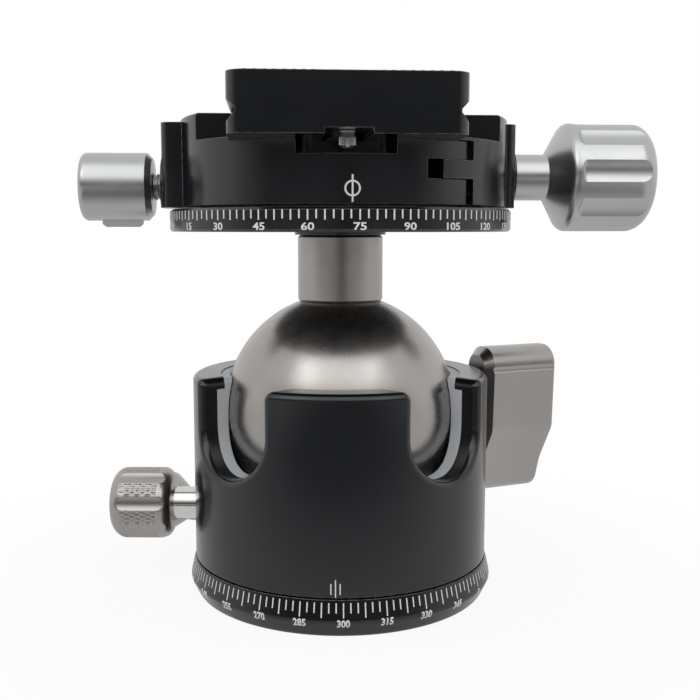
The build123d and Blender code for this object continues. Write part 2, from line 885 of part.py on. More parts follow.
def make_friction_knob():
    profile = [
        (friction_knob_start, 0),
        (friction_knob_start, friction_knob_radius - friction_knob_edge),
        (friction_knob_start + friction_knob_edge, friction_knob_radius),
        (friction_knob_end, friction_knob_radius),
        (friction_knob_end, 0),
    ]
    knob = turned_x(profile, {3: small_knob_end_round})
    start = friction_knob_start - 2 * past
    knob = small_fluted(knob, friction_knob_radius, start, friction_knob_end + past, friction_knob_turn)
    knob = knob - rod(friction_screw_radius + fit_gap, 0, friction_screw_end)
    return on_housing(knob, friction_azimuth, friction_height)


# Ball, neck and pan disc


def make_neck_bolt():
    bottom = neck_bottom - neck_bolt_depth
    head_top = bolt_head_bottom + neck_bolt_head_height
    shank = post(neck_bolt_radius - running_gap, bottom, bolt_head_bottom)
    head = post(neck_bolt_head_radius - running_gap, bolt_head_bottom, head_top)
    return shank + head - hex_socket(hex_socket_radius, head_top - hex_socket_depth, head_top + past)


def neck_bolt_bore(bottom, top):
    return post(neck_bolt_radius, bottom, top)


def neck_pins(gap=0):
    half = neck_pin_length / 2 + gap
    pin = post(neck_pin_radius + gap, neck_top - half, neck_top + half)
    return around(pin, neck_pin_circle, 2)


def make_ball():
    ball = Pos(0, 0, ball_height) * Sphere(ball_radius)
    ball = ball - post(ball_radius, neck_bottom, neck_bottom + ball_radius)
    return ball - neck_bolt_bore(neck_bottom - neck_bolt_depth - neck_bolt_end_gap, neck_bottom + past)


def make_neck():
    cut = neck_chamfer
    profile = [
        (neck_bolt_radius, neck_bottom),
        (neck_radius - cut, neck_bottom),
        (neck_radius, neck_bottom + cut),
        (neck_radius, neck_top - cut),
        (neck_radius - cut, neck_top),
        (neck_bolt_radius, neck_top),
    ]
    return cut_all(turned_z(profile), neck_pins(fit_gap))


def make_pan_disc():
    edge = disc_edge_chamfer
    profile = [
        (neck_bolt_radius, neck_top),
        (disc_hub_radius, neck_top),
        (disc_hub_radius, disc_bottom),
        (disc_radius - edge, disc_bottom),
        (disc_radius, disc_bottom + edge),
        (disc_radius, disc_top - edge),
        (disc_radius - edge, disc_top),
        (disc_spigot_radius, disc_top),
        (disc_spigot_radius, disc_spigot_top),
        (neck_bolt_head_radius, disc_spigot_top),
        (neck_bolt_head_radius, bolt_head_bottom),
        (neck_bolt_radius, bolt_head_bottom),
    ]
    disc = cut_all(turned_z(profile), neck_pins(fit_gap))
    hole = small_screw_hole(disc_spigot_top + clamp_retainer_thickness, clamp_retainer_screw_length)
    return cut_all(disc, around(hole, clamp_retainer_screw_circle, clamp_retainer_screw_count, 45))


def make_top_washer():
    return tube(top_washer_outer_radius, top_washer_inner_radius, disc_top, clamp_bottom)


def make_clamp_retainer():
    top = disc_spigot_top + clamp_retainer_thickness
    ring = tube(clamp_retainer_radius, clamp_retainer_bore, disc_spigot_top, top)
    hole = small_screw_hole(top, clamp_retainer_screw_length)
    return cut_all(ring, around(hole, clamp_retainer_screw_circle, clamp_retainer_screw_count, 45))


def make_clamp_retainer_screws():
    screw = small_screw(disc_spigot_top + clamp_retainer_thickness, clamp_retainer_screw_length)
    return around(screw, clamp_retainer_screw_circle, clamp_retainer_screw_count, 45)


# Clamp


def clamp_blank():
    # The whole round clamp, before it is split into body and jaw
    edge = clamp_edge_chamfer
    profile = [
        (0, clamp_bottom),
        (clamp_radius - edge, clamp_bottom),
        (clamp_radius, clamp_bottom + edge),
        (clamp_radius, jaw_top),
        (0, jaw_top),
    ]
    blank = turned_z(profile, {3: jaw_top_round})
    reach = clamp_radius + past
    for front, back in ((-reach, -jaw_half_length), (jaw_half_length, reach)):
        blank = blank - block(-reach, reach, front, back, jaw_shelf, jaw_top + past)
    return blank


def dovetail_wedge(edge_place, side):
    # The space that the plate's edge takes between the jaws, with its clearance; side is -1 or 1
    low = clamp_floor + groove_bottom
    high = clamp_floor + groove_top
    edge_at = edge_place + side * jaw_lip_gap
    root = edge_at - side * groove_depth
    above = max(high, jaw_top) + past
    inside = plate_offset
    corners = [
        (inside, clamp_floor),
        (edge_at, clamp_floor),
        (edge_at, low + jaw_lip_gap),
        (root, low + groove_depth + jaw_lip_gap),
        (root, high - groove_depth - jaw_lip_gap),
        (edge_at + side * (above - high), above - jaw_lip_gap),
        (inside, above - jaw_lip_gap),
    ]
    face = outline(corners)
    return extrude(Plane.XZ * face, plate_half_length, both=True)


def tab(reach, boss_axis):
    # The flat end of a jaw, with a round boss about its screw
    top = jaw_top - tab_top_drop
    width = tab_half_width
    start = clamp_radius - tab_root
    piece = block(start, reach, -width, width, clamp_bottom, top)
    corners = piece.edges().filter_by(Axis.Z).sort_by(Axis.X)[-2:]
    piece = fillet(corners, tab_corner_round)
    boss = Pos(0, 0, boss_axis) * rod(tab_boss_radius, start, reach + tab_boss_height)
    return (piece + boss) & block(0, reach + past, -width, width, clamp_bottom, top)


def recess_cutter():
    left = plate_offset - recess_half_width
    right = plate_offset + recess_half_width
    cutter = block(left, right, -clamp_radius - past, -recess_end, recess_floor, jaw_top + past)
    corners = cutter.edges().filter_by(Axis.Z).sort_by(Axis.Y)[-2:]
    return fillet(corners, recess_corner_round)


def tongue_blank(start, end, gap):
    # Flat guide in the split between body and jaw, clear of the clamp screw
    low = tongue_axis - tongue_height / 2 - gap
    high = tongue_axis + tongue_height / 2 + gap
    inner = screw_rib_half_width - gap
    reach = clamp_radius + past
    front = block(start, end, -reach, -inner, low, high)
    back = block(start, end, inner, reach, low, high)
    return [front, back]


def guide_pin_places():
    return [-guide_pin_offset, guide_pin_offset]


def make_clamp_body():
    reach = tab_reach + tab_boss_height + past
    top = jaw_top + past
    body = clamp_blank() - block(jaw_split, reach, -reach, reach, 0, top)
    body = body - block(plate_offset, reach, -reach, reach, clamp_floor, top)
    body = body - dovetail_wedge(plate_left, -1)
    body = body + Rot(0, 0, 180) * tab(tab_reach, clamp_lock_axis)
    body = body - post(disc_spigot_radius + running_gap, 0, web_top + past)
    body = body - post(clamp_retainer_radius + clamp_retainer_side_gap, web_top, top)
    cutter = recess_cutter()
    body = body - cutter - mirror(cutter, Plane.XZ)
    slot_start = jaw_split - tongue_slot_length
    body = cut_all(body, tongue_blank(slot_start, jaw_split + past, tongue_slot_gap))
    bore_start = clamp_screw_start - clamp_screw_end_gap
    screw_bore = rod(clamp_screw_radius + running_gap, bore_start, reach)
    body = body - Pos(0, 0, clamp_screw_axis) * screw_bore
    lock_bore = rod(clamp_lock_screw_radius + running_gap, 0, reach)
    body = body - outward(lock_bore, 180, clamp_lock_axis)
    for side in guide_pin_places():
        pocket = rod(jaw_spring_radius + jaw_spring_play, jaw_split - jaw_spring_seat, reach)
        hole_start = guide_pin_start - guide_pin_end_gap
        hole = rod(guide_pin_radius + running_gap, hole_start, reach)
        body = body - Pos(0, side, guide_pin_axis) * (pocket + hole)
    return body


def make_movable_jaw():
    reach = jaw_face + past
    top = jaw_top + past
    below = clamp_floor + jaw_floor_gap
    jaw = clamp_blank() - block(-reach, jaw_split, -reach, reach, 0, below)
    jaw = Pos(jaw_gap, 0, 0) * jaw
    jaw = jaw - block(-reach, plate_offset, -reach, reach, 0, top)
    jaw = jaw - dovetail_wedge(plate_right, 1)
    jaw = jaw + tab(jaw_tab_reach, clamp_screw_axis)
    blank = Pos(jaw_gap, 0, 0) * post(clamp_radius, clamp_bottom, jaw_top)
    root = jaw_split + jaw_gap + tongue_root
    for tongue in tongue_blank(jaw_split - tongue_length, root, 0):
        jaw = jaw + (tongue & blank)
    screw_bore = rod(clamp_screw_radius + clamp_screw_play, jaw_split, reach)
    counterbore = rod(knob_washer_radius + running_gap, knob_washer_start, reach)
    jaw = jaw - Pos(0, 0, clamp_screw_axis) * (screw_bore + counterbore)
    for side in guide_pin_places():
        hole = rod(guide_pin_radius + fit_gap, jaw_split, guide_pin_end)
        jaw = jaw - Pos(0, side, guide_pin_axis) * hole
    return jaw


def make_guide_pins():
    pin = rod(guide_pin_radius, guide_pin_start, guide_pin_end)
    return [Pos(0, side, guide_pin_axis) * pin for side in guide_pin_places()]


def make_jaw_springs():
    start = jaw_split - jaw_spring_seat + jaw_spring_wire / 2 + fit_gap
    length = jaw_spring_seat + jaw_gap - jaw_spring_wire - 2 * fit_gap
    coil = Helix(length / jaw_spring_turns, length, jaw_spring_radius)
    section = Plane(origin=coil @ 0, z_dir=coil % 0) * Circle(jaw_spring_wire / 2)
    spring = Pos(start, 0, 0) * Rot(0, 90, 0) * sweep(section, path=coil)
    return [Pos(0, side, guide_pin_axis) * spring for side in guide_pin_places()]


def make_knob_washer():
    washer = rod(knob_washer_radius, knob_washer_start, clamp_knob_start)
    bore = rod(clamp_screw_radius + running_gap, 0, jaw_face + past)
    return Pos(0, 0, clamp_screw_axis) * (washer - bore)


def make_clamp_screw():
    start = clamp_screw_start
    end = clamp_knob_cone_start + screw_grip
    screw = threaded_rod(start, jaw_split + jaw_gap, end, clamp_screw_radius, clamp_screw_pitch)
    return Pos(0, 0, clamp_screw_axis) * screw


def make_clamp_knob():
    start = clamp_knob_start
    cone_start = clamp_knob_cone_start
    cone_end = cone_start + clamp_knob_cone_length
    end = start + clamp_knob_length
    profile = [
        (start, 0),
        (start, clamp_knob_neck_radius),
        (cone_start, clamp_knob_neck_radius),
        (cone_end, clamp_knob_radius),
        (end, clamp_knob_radius),
        (end, 0),
    ]
    knob = turned_x(profile, {3: clamp_knob_cone_round, 4: clamp_knob_end_round})
    knob = fluted(
        knob, clamp_knob_radius, cone_end + clamp_knob_flute_inset, end + past,
        clamp_knob_flutes, clamp_knob_flute_radius, clamp_knob_flute_depth, clamp_knob_turn,
    )
    knob = knob - rod(clamp_screw_radius + fit_gap, 0, cone_start + screw_grip)
    return Pos(0, 0, clamp_screw_axis) * knob


# Clamp's pan lock


def make_clamp_lock_shoe():
    back = disc_spigot_radius + clamp_lock_shoe_length
    reach = disc_spigot_radius + shoe_gap + advance(clamp_lock_pitch)
    shoe = rod(clamp_lock_shoe_radius, 0, back)
    shoe = shoe - post(reach, -2 * clamp_lock_shoe_radius, 2 * clamp_lock_shoe_radius)
    return outward(shoe, 180, clamp_lock_axis)


def make_clamp_lock_screw():
    start = disc_spigot_radius + clamp_lock_shoe_length
    thread_end = clamp_lock_knob_start
    end = clamp_lock_knob_start + screw_grip
    screw = threaded_rod(start, thread_end, end, clamp_lock_screw_radius, clamp_lock_pitch)
    return outward(screw, 180, clamp_lock_axis)


def make_clamp_lock_knob():
    start = clamp_lock_knob_start
    end = start + clamp_lock_knob_length
    radius = clamp_lock_knob_radius
    bevel = clamp_lock_knob_bevel
    profile = [
        (start, 0),
        (start, radius - bevel),
        (start + bevel, radius),
        (end, radius),
        (end, 0),
    ]
    knob = turned_x(profile, {3: clamp_lock_knob_round})
    half = clamp_lock_lobe_width / 2
    low = start + clamp_lock_lobe_inset
    high = low + clamp_lock_lobe_length
    reach = radius + clamp_lock_lobe_rise
    slope = clamp_lock_lobe_slope
    corners = [
        (low, 0),
        (low, reach - slope),
        (low + slope, reach),
        (high - slope, reach),
        (high, reach - slope),
        (high, 0),
    ]
    lobe = extrude(outline(corners), half, both=True)
    knob = knob + Rot(-90 - clamp_lock_lobe_turn, 0, 0) * lobe
    knob = knob - rod(clamp_lock_screw_radius + fit_gap, 0, start + screw_grip)
    return outward(knob, 180, clamp_lock_axis)


# Plate


def plate_block():
    low = clamp_floor + groove_bottom
    high = clamp_floor + groove_top
    edge = plate_half_width
    root = edge - groove_depth
    right = [
        (edge, clamp_floor),
        (edge, low),
        (root, low + groove_depth),
        (root, high - groove_depth),
        (edge, high),
        (edge, plate_top),
    ]
    left = [(-across, up) for across, up in reversed(right)]
    bar = extrude(Plane.XZ * outline(right + left), plate_half_length, both=True)
    keep = RectangleRounded(2 * edge, 2 * plate_half_length, plate_corner_round)
    return bar & Pos(0, 0, clamp_floor) * extrude(keep, plate_height)


def pad_outline(gap):
    left = -plate_half_width + pad_inset - gap
    right = -pad_gap + gap
    length = 2 * (plate_half_length - pad_inset + gap)
    return Pos((left + right) / 2, 0) * RectangleRounded(right - left, length, pad_corner_round)


def make_quick_release_plate():
    plate = plate_block()
    length = plate_half_length + past
    plate = plate - block(-channel_half_width, channel_half_width, -length, length, 0, channel_top)
    slot = SlotOverall(2 * slot_half_length, 2 * slot_half_width)
    plate = plate - extrude(Rot(0, 0, 90) * slot, plate_top + past)
    wide_half_length = slot_half_length + counterbore_half_width - slot_half_width
    wide = SlotOverall(2 * wide_half_length, 2 * counterbore_half_width)
    plate = plate - extrude(Rot(0, 0, 90) * wide, clamp_floor + counterbore_height)
    for side in (0, 180):
        pocket = Pos(0, 0, plate_top - pad_depth) * extrude(pad_outline(fit_gap), pad_depth + past)
        plate = plate - Rot(0, 0, side) * pocket
    hole_top = channel_top + stop_screw_shank_length + fit_gap
    hole = post(stop_screw_shank_radius + fit_gap, 0, hole_top)
    for side in (-1, 1):
        plate = plate - Pos(0, side * stop_screw_place, 0) * hole
    return Pos(plate_offset, 0, 0) * plate


def make_plate_pads():
    pad = Pos(0, 0, plate_top - pad_depth) * extrude(pad_outline(0), pad_depth + pad_rise)
    return [Pos(plate_offset, 0, 0) * Rot(0, 0, side) * pad for side in (0, 180)]


def make_stop_screws():
    head_bottom = clamp_floor - stop_screw_drop
    head = post(stop_screw_radius, head_bottom, channel_top)
    shank = post(stop_screw_shank_radius, channel_top, channel_top + stop_screw_shank_length)
    socket_top = head_bottom + stop_screw_socket_depth
    screw = head + shank - hex_socket(stop_screw_socket, head_bottom - past, socket_top)
    return [Pos(plate_offset, side * stop_screw_place, 0) * screw for side in (-1, 1)]


def make_camera_washer():
    top = clamp_floor + counterbore_height
    bore = camera_screw_radius + running_gap
    washer = tube(camera_washer_radius, bore, top - camera_washer_thickness, top)
    return Pos(plate_offset, 0, 0) * washer


def make_camera_screw():
    head_top = clamp_floor + counterbore_height - camera_washer_thickness
    head_bottom = head_top - camera_screw_head_height
    thread_start = plate_top + pad_rise + camera_screw_thread_start
    neck_start = thread_start - camera_screw_neck_length
    body = post(camera_screw_radius, head_top, neck_start)
    body = body + post(camera_screw_neck_radius, neck_start, thread_start)
    body = body + post(camera_screw_radius, thread_start, plate_top + camera_screw_rise)
    body = body + post(camera_screw_head_radius, head_bottom, head_top)
    body = body - hex_socket(hex_socket_radius, head_bottom - past, head_bottom + hex_socket_depth)
    return Pos(plate_offset, 0, 0) * body


makers = {
    "base_plate": make_base_plate,
    "tripod_bush": make_tripod_bush,
    "pan_washer": make_pan_washer,
    "retainer_ring": make_retainer_ring,
    "retainer_screws": make_retainer_screws,
    "housing": make_housing,
    "floor_plate": make_floor_plate,
    "floor_screws": make_floor_screws,
    "ball_liner": make_ball_liner,
    "lower_seat": make_lower_seat,
    "seat_spring": make_seat_spring,
    "lock_bush": make_lock_bush,
    "lock_shoe": make_lock_shoe,
    "lock_screw": make_lock_screw,
    "lock_knob": make_lock_knob,
    "pan_lock_shoe": make_pan_lock_shoe,
    "pan_lock_screw": make_pan_lock_screw,
    "pan_lock_knob": make_pan_lock_knob,
    "friction_plunger": make_friction_plunger,
    "friction_screw": make_friction_screw,
    "friction_knob": make_friction_knob,
    "neck_bolt": make_neck_bolt,
    "ball": make_ball,
    "neck": make_neck,
    "neck_pins": neck_pins,
    "pan_disc": make_pan_disc,
    "top_washer": make_top_washer,
    "clamp_retainer": make_clamp_retainer,
    "clamp_retainer_screws": make_clamp_retainer_screws,
    "clamp_body": make_clamp_body,
    "clamp_lock_shoe": make_clamp_lock_shoe,
    "clamp_lock_screw": make_clamp_lock_screw,
    "clamp_lock_knob": make_clamp_lock_knob,
    "movable_jaw": make_movable_jaw,
    "guide_pins": make_guide_pins,
    "jaw_springs": make_jaw_springs,
    "knob_washer": make_knob_washer,
    "clamp_screw": make_clamp_screw,
    "clamp_knob": make_clamp_knob,
    "quick_release_plate": make_quick_release_plate,
    "plate_pads": make_plate_pads,
    "stop_screws": make_stop_screws,
    "camera_washer": make_camera_washer,
    "camera_screw": make_camera_screw,
}


def main():
    os.makedirs("parts", exist_ok=True)
    for name, maker in makers.items():
        shape = maker()
        if isinstance(shape, list):
            shape = Compound(children=shape)
        shape.label = name
        export_step(shape, "parts/" + name + ".step")


if __name__ == "__main__":
    main()
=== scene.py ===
import bmesh
import bpy
import json
import math
from mathutils import Matrix, Vector
from mathutils.bvhtree import BVHTree


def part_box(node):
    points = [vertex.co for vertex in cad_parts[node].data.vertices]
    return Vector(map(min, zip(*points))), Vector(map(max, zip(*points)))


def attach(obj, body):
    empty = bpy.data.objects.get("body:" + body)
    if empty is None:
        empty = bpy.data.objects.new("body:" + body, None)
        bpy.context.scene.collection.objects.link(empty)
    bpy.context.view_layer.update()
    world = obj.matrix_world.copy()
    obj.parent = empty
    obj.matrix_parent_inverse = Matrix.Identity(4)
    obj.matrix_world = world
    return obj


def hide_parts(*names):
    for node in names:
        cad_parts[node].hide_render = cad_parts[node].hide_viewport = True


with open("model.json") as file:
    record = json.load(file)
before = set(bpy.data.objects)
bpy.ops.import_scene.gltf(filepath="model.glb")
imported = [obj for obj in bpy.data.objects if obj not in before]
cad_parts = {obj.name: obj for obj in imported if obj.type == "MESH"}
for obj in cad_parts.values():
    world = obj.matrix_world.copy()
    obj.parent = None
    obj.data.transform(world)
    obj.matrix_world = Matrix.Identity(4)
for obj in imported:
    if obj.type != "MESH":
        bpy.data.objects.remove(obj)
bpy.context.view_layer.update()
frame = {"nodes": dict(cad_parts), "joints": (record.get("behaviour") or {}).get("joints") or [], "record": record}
nodes = frame["nodes"]
joints = {joint["name"]: joint for joint in frame["joints"]}
mm = 0.001
scene = bpy.context.scene
scene.view_settings.view_transform = "Standard"
print("frame loaded:", len(nodes), "nodes")


def lowOf(node):
    # Height of a node's underside, in mm
    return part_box(node)[0][2] / mm


def topOf(node):
    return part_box(node)[1][2] / mm


# Camera
cameraLook = {
    "place": (-12.33, -185.6, 68.8),   # mm
    "pitch": -7.1,                     # degrees, below the horizon
    "heading": -3.8,                   # degrees, turned from straight along +Y
    "lens": 50.25, "sensor": 36,       # mm
    "sideShift": 0.0139,               # share of the sensor's width
    "near": 10,                        # mm, nothing nearer is drawn
}


def placeCamera(look):
    data = bpy.data.cameras.new("camera")
    data.sensor_width = look["sensor"]
    data.lens = look["lens"]
    data.shift_x = look["sideShift"]
    data.clip_start = look["near"] * mm
    camera = bpy.data.objects.new("camera", data)
    camera.location = [value * mm for value in look["place"]]
    camera.rotation_euler = (math.radians(90 + look["pitch"]), 0, math.radians(look["heading"]))
    scene.collection.objects.link(camera)
    scene.camera = camera


placeCamera(cameraLook)


# Node helpers
def newFinish(name):
    material = bpy.data.materials.new(name)
    material.use_nodes = True
    tree = material.node_tree
    return material, tree, tree.nodes["Principled BSDF"]


def addNode(tree, kind, **values):
    node = tree.nodes.new(kind)
    for key, value in values.items():
        setattr(node, key, value)
    return node


def feed(tree, socket, value):
    # Links another node's output, or sets a plain number, vector or colour
    if isinstance(value, bpy.types.NodeSocket):
        tree.links.new(value, socket)
    elif socket.type == "RGBA":
        socket.default_value = (*value, 1)
    else:
        socket.default_value = value


def noiseAt(tree, scale, detail):
    # Noise that sits on the piece, in its own metres
    noise = addNode(tree, "ShaderNodeTexNoise")
    feed(tree, noise.inputs["Vector"], addNode(tree, "ShaderNodeTexCoord").outputs["Object"])
    feed(tree, noise.inputs["Scale"], scale)
    feed(tree, noise.inputs["Detail"], detail)
    return noise.outputs["Fac"]


def spread(tree, value, low, high, fromLow=0.3, fromHigh=0.7):
    # low where value is at fromLow or under, high where it is at fromHigh or over
    ranged = addNode(tree, "ShaderNodeMapRange")
    feed(tree, ranged.inputs["Value"], value)
    feed(tree, ranged.inputs["From Min"], fromLow)
    feed(tree, ranged.inputs["From Max"], fromHigh)
    feed(tree, ranged.inputs["To Min"], low)
    feed(tree, ranged.inputs["To Max"], high)
    return ranged.outputs["Result"]


def mixColours(tree, factor, first, second):
    mix = addNode(tree, "ShaderNodeMix", data_type="RGBA")
    feed(tree, mix.inputs["Factor"], factor)
    feed(tree, mix.inputs[6], first)   # by number, because the plain sockets have the same names
    feed(tree, mix.inputs[7], second)
    return mix.outputs[2]


def joinMath(tree, operation, first, second):
    node = addNode(tree, "ShaderNodeMath", operation=operation)
    feed(tree, node.inputs[0], first)
    feed(tree, node.inputs[1], second)
    return node.outputs["Value"]


def facing(tree, vector, towards):
    dot = addNode(tree, "ShaderNodeVectorMath", operation="DOT_PRODUCT")
    feed(tree, dot.inputs[0], vector)
    feed(tree, dot.inputs[1], towards)
    return dot.outputs["Value"]


# Finishes: scales are per metre, edge and grainDepth are in mm
noiseDetail = {"cloud": 3.0, "rough": 3.0, "grain": 2.0, "scuffAndGlint": 4.0}
# Lighter sharp edges: partly wear, partly painted highlight that stands in for glints of light along the edges
edgeWearAndGlint = {
    "samples": 4,
    "sharp": 0.80, "flat": 0.985,         # how well the rounded normal agrees with the face's own
    "patchFrom": 0.34, "patchTo": 0.54,   # noise that breaks the wear and the painted edge highlight up into patches
}


def wornColour(tree, bevel, colour, look):
    # Bare metal in patches along the sharp edges, partly painted highlight: the lighter colour there also stands
    # in for glints of light along the edges
    normal = addNode(tree, "ShaderNodeNewGeometry").outputs["Normal"]
    agreement = facing(tree, bevel.outputs["Normal"], normal)
    sharp = spread(tree, agreement, 1.0, 0.0, edgeWearAndGlint["sharp"], edgeWearAndGlint["flat"])
    noise = noiseAt(tree, look["scuffAndGlintScale"], noiseDetail["scuffAndGlint"])
    patches = spread(tree, noise, 0.0, 1.0, edgeWearAndGlint["patchFrom"], edgeWearAndGlint["patchTo"])
    return mixColours(tree, joinMath(tree, "MULTIPLY", sharp, patches), colour, look["wearAndGlint"])


def makeFinish(name, look):
    material, tree, shader = newFinish(name)
    shader.inputs["Metallic"].default_value = look["metallic"]
    shader.inputs["Specular IOR Level"].default_value = look.get("specular", 0.5)
    cloud = noiseAt(tree, look["cloudScale"], noiseDetail["cloud"])
    colour = mixColours(tree, spread(tree, cloud, 0.0, 1.0), look["colour"], look["shade"])
    gloss = noiseAt(tree, look["roughScale"], noiseDetail["rough"])
    feed(tree, shader.inputs["Roughness"], spread(tree, gloss, *look["rough"]))
    bump = addNode(tree, "ShaderNodeBump")
    feed(tree, bump.inputs["Strength"], look["grainStrength"])
    feed(tree, bump.inputs["Distance"], look["grainDepth"] * mm)
    feed(tree, bump.inputs["Height"], noiseAt(tree, look["grainScale"], noiseDetail["grain"]))
    if "edge" in look:
        bevel = addNode(tree, "ShaderNodeBevel", samples=edgeWearAndGlint["samples"])
        feed(tree, bevel.inputs["Radius"], look["edge"] * mm)
        feed(tree, bump.inputs["Normal"], bevel.outputs["Normal"])
        if "wearAndGlint" in look:
            # wear and painted highlight: the sharp edges are made lighter in patches
            colour = wornColour(tree, bevel, colour, look)
    if "groove" in look:
        # painted shade: the knurl's hollows are darkened where shade falls in them
        hollow = addNode(tree, "ShaderNodeNewGeometry").outputs["Pointiness"]
        shadedHollows = spread(tree, hollow, 1.0, 0.0, look["grooveFrom"], look["grooveTo"])
        colour = mixColours(tree, shadedHollows, colour, look["groove"])
    feed(tree, shader.inputs["Base Color"], colour)
    feed(tree, shader.inputs["Normal"], bump.outputs["Normal"])
    return material


finishes = {
    "black_anodised": {
        "colour": (0.0038, 0.0046, 0.0064), "shade": (0.0056, 0.0066, 0.0088), "metallic": 0.0,
        "rough": (0.17, 0.22), "specular": 0.6, "cloudScale": 60, "roughScale": 90,
        "grainScale": 5200, "grainStrength": 0.08, "grainDepth": 0.02,
        "edge": 0.20, "wearAndGlint": (0.26, 0.265, 0.28), "scuffAndGlintScale": 900,
    },
    "titanium_anodised": {
        "colour": (0.435, 0.412, 0.392), "shade": (0.385, 0.365, 0.348), "metallic": 1.0,
        "rough": (0.26, 0.32), "cloudScale": 45, "roughScale": 300,
        "grainScale": 2200, "grainStrength": 0.30, "grainDepth": 0.004,
        "edge": 0.14, "wearAndGlint": (0.52, 0.50, 0.475), "scuffAndGlintScale": 1400,
    },
    "titanium_blasted": {   # round and plain, so without worn edges or their painted edge highlight
        "slot": "titanium_anodised", "colour": (0.445, 0.422, 0.402), "shade": (0.395, 0.375, 0.358),
        "metallic": 1.0, "rough": (0.25, 0.31), "cloudScale": 45, "roughScale": 300,
        "grainScale": 2200, "grainStrength": 0.30, "grainDepth": 0.004,
    },
    "titanium_knurled": {   # painted shade: darker down in its grooves
        "slot": "titanium_anodised", "colour": (0.435, 0.412, 0.392), "shade": (0.385, 0.365, 0.348),
        "metallic": 1.0, "rough": (0.27, 0.34), "cloudScale": 45, "roughScale": 300,
        "grainScale": 3300, "grainStrength": 0.30, "grainDepth": 0.02,
        "groove": (0.17, 0.16, 0.15), "grooveFrom": 0.44, "grooveTo": 0.50,
    },
    "silver_anodised": {
        "colour": (0.520, 0.532, 0.525), "shade": (0.470, 0.482, 0.476), "metallic": 1.0,
        "rough": (0.27, 0.33), "cloudScale": 40, "roughScale": 260,
        "grainScale": 4600, "grainStrength": 0.18, "grainDepth": 0.018,
        "edge": 0.14, "wearAndGlint": (0.62, 0.63, 0.63), "scuffAndGlintScale": 1400,
    },
    "steel": {
        "colour": (0.60, 0.59, 0.57), "shade": (0.46, 0.45, 0.43), "metallic": 1.0,
        "rough": (0.20, 0.34), "cloudScale": 180, "roughScale": 500,
        "grainScale": 2600, "grainStrength": 0.25, "grainDepth": 0.01, "edge": 0.08,
    },
    "polished_steel": {
        "colour": (0.72, 0.71, 0.69), "shade": (0.66, 0.65, 0.63), "metallic": 1.0,
        "rough": (0.08, 0.16), "cloudScale": 120, "roughScale": 700,
        "grainScale": 3000, "grainStrength": 0.08, "grainDepth": 0.006, "edge": 0.08,
    },
    "dark_steel": {
        "colour": (0.060, 0.060, 0.062), "shade": (0.035, 0.035, 0.037), "metallic": 1.0,
        "rough": (0.30, 0.44), "cloudScale": 200, "roughScale": 500,
        "grainScale": 3000, "grainStrength": 0.20, "grainDepth": 0.01, "edge": 0.08,
    },
    "brass": {
        "colour": (0.70, 0.50, 0.22), "shade": (0.55, 0.37, 0.15), "metallic": 1.0,
        "rough": (0.20, 0.34), "cloudScale": 160, "roughScale": 420,
        "grainScale": 2600, "grainStrength": 0.22, "grainDepth": 0.01, "edge": 0.08,
    },
    "liner_plastic": {
        "colour": (0.60, 0.63, 0.66), "shade": (0.54, 0.565, 0.60), "metallic": 0.0,
        "rough": (0.42, 0.55), "cloudScale": 120, "roughScale": 400,
        "grainScale": 3000, "grainStrength": 0.22, "grainDepth": 0.02, "edge": 0.12,
    },
    "slip_plastic": {
        "colour": (0.80, 0.80, 0.77), "shade": (0.72, 0.72, 0.69), "metallic": 0.0,
        "rough": (0.40, 0.55), "cloudScale": 160, "roughScale": 400,
        "grainScale": 2600, "grainStrength": 0.18, "grainDepth": 0.02, "edge": 0.08,
    },
    "pad_rubber": {
        "colour": (0.020, 0.020, 0.021), "shade": (0.032, 0.032, 0.033), "metallic": 0.0,
        "rough": (0.52, 0.70), "cloudScale": 250, "roughScale": 700,
        "grainScale": 4200, "grainStrength": 0.45, "grainDepth": 0.03, "edge": 0.10,
    },
    "white_marking": {
        "colour": (0.80, 0.80, 0.79), "shade": (0.70, 0.70, 0.69), "metallic": 0.0,
        "rough": (0.42, 0.58), "cloudScale": 1500, "roughScale": 1800,
        "grainScale": 6000, "grainStrength": 0.15, "grainDepth": 0.01,
    },
}
nodeFinish = {"ball": "titanium_blasted"}   # every other node takes the finish named like its slot
made = {name: makeFinish(name, look) for name, look in finishes.items()}
for part in frame["record"]["subparts"]:
    materials = nodes[part["node"]].data.materials
    materials.clear()
    materials.append(made[nodeFinish.get(part["node"], part["material_slot"])])
print("finishes:", len(made))


# Mesh helpers: a shape is a list of points, in mm, and a list of faces
def newPiece(name, shape, finish, body, smoothAngle):
    points, faces = shape
    mesh = bpy.data.meshes.new(name)
    mesh.from_pydata([Vector(point) * mm for point in points], [], faces)
    mesh.validate()
    mesh.materials.append(made[finish])
    piece = bpy.data.objects.new(name, mesh)
    scene.collection.objects.link(piece)
    mesh.shade_smooth()
    mesh.set_sharp_from_angle(angle=math.radians(smoothAngle))
    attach(piece, body)
    return piece


def joinShapes(shapes):
    points = []
    faces = []
    for morePoints, moreFaces in shapes:
        start = len(points)
        points.extend(morePoints)
        faces.extend(tuple(index + start for index in face) for face in moreFaces)
    return points, faces


def lathe(rings, loop=False):
    # Rings of as many points each, joined by quads; both ends are capped unless they meet in a loop
    count = len(rings[0])
    faces = []
    for row in range(len(rings) if loop else len(rings) - 1):
        here = row * count
        there = (row + 1) % len(rings) * count
        for column in range(count):
            across = (column + 1) % count
            faces.append((here + column, here + across, there + across, there + column))
    if not loop:
        faces.append(tuple(reversed(range(count))))
        faces.append(tuple((len(rings) - 1) * count + column for column in range(count)))
    return [point for ring in rings for point in ring], faces


def moved(shape, matrix):
    points, faces = shape
    return [matrix @ Vector(point) for point in points], faces


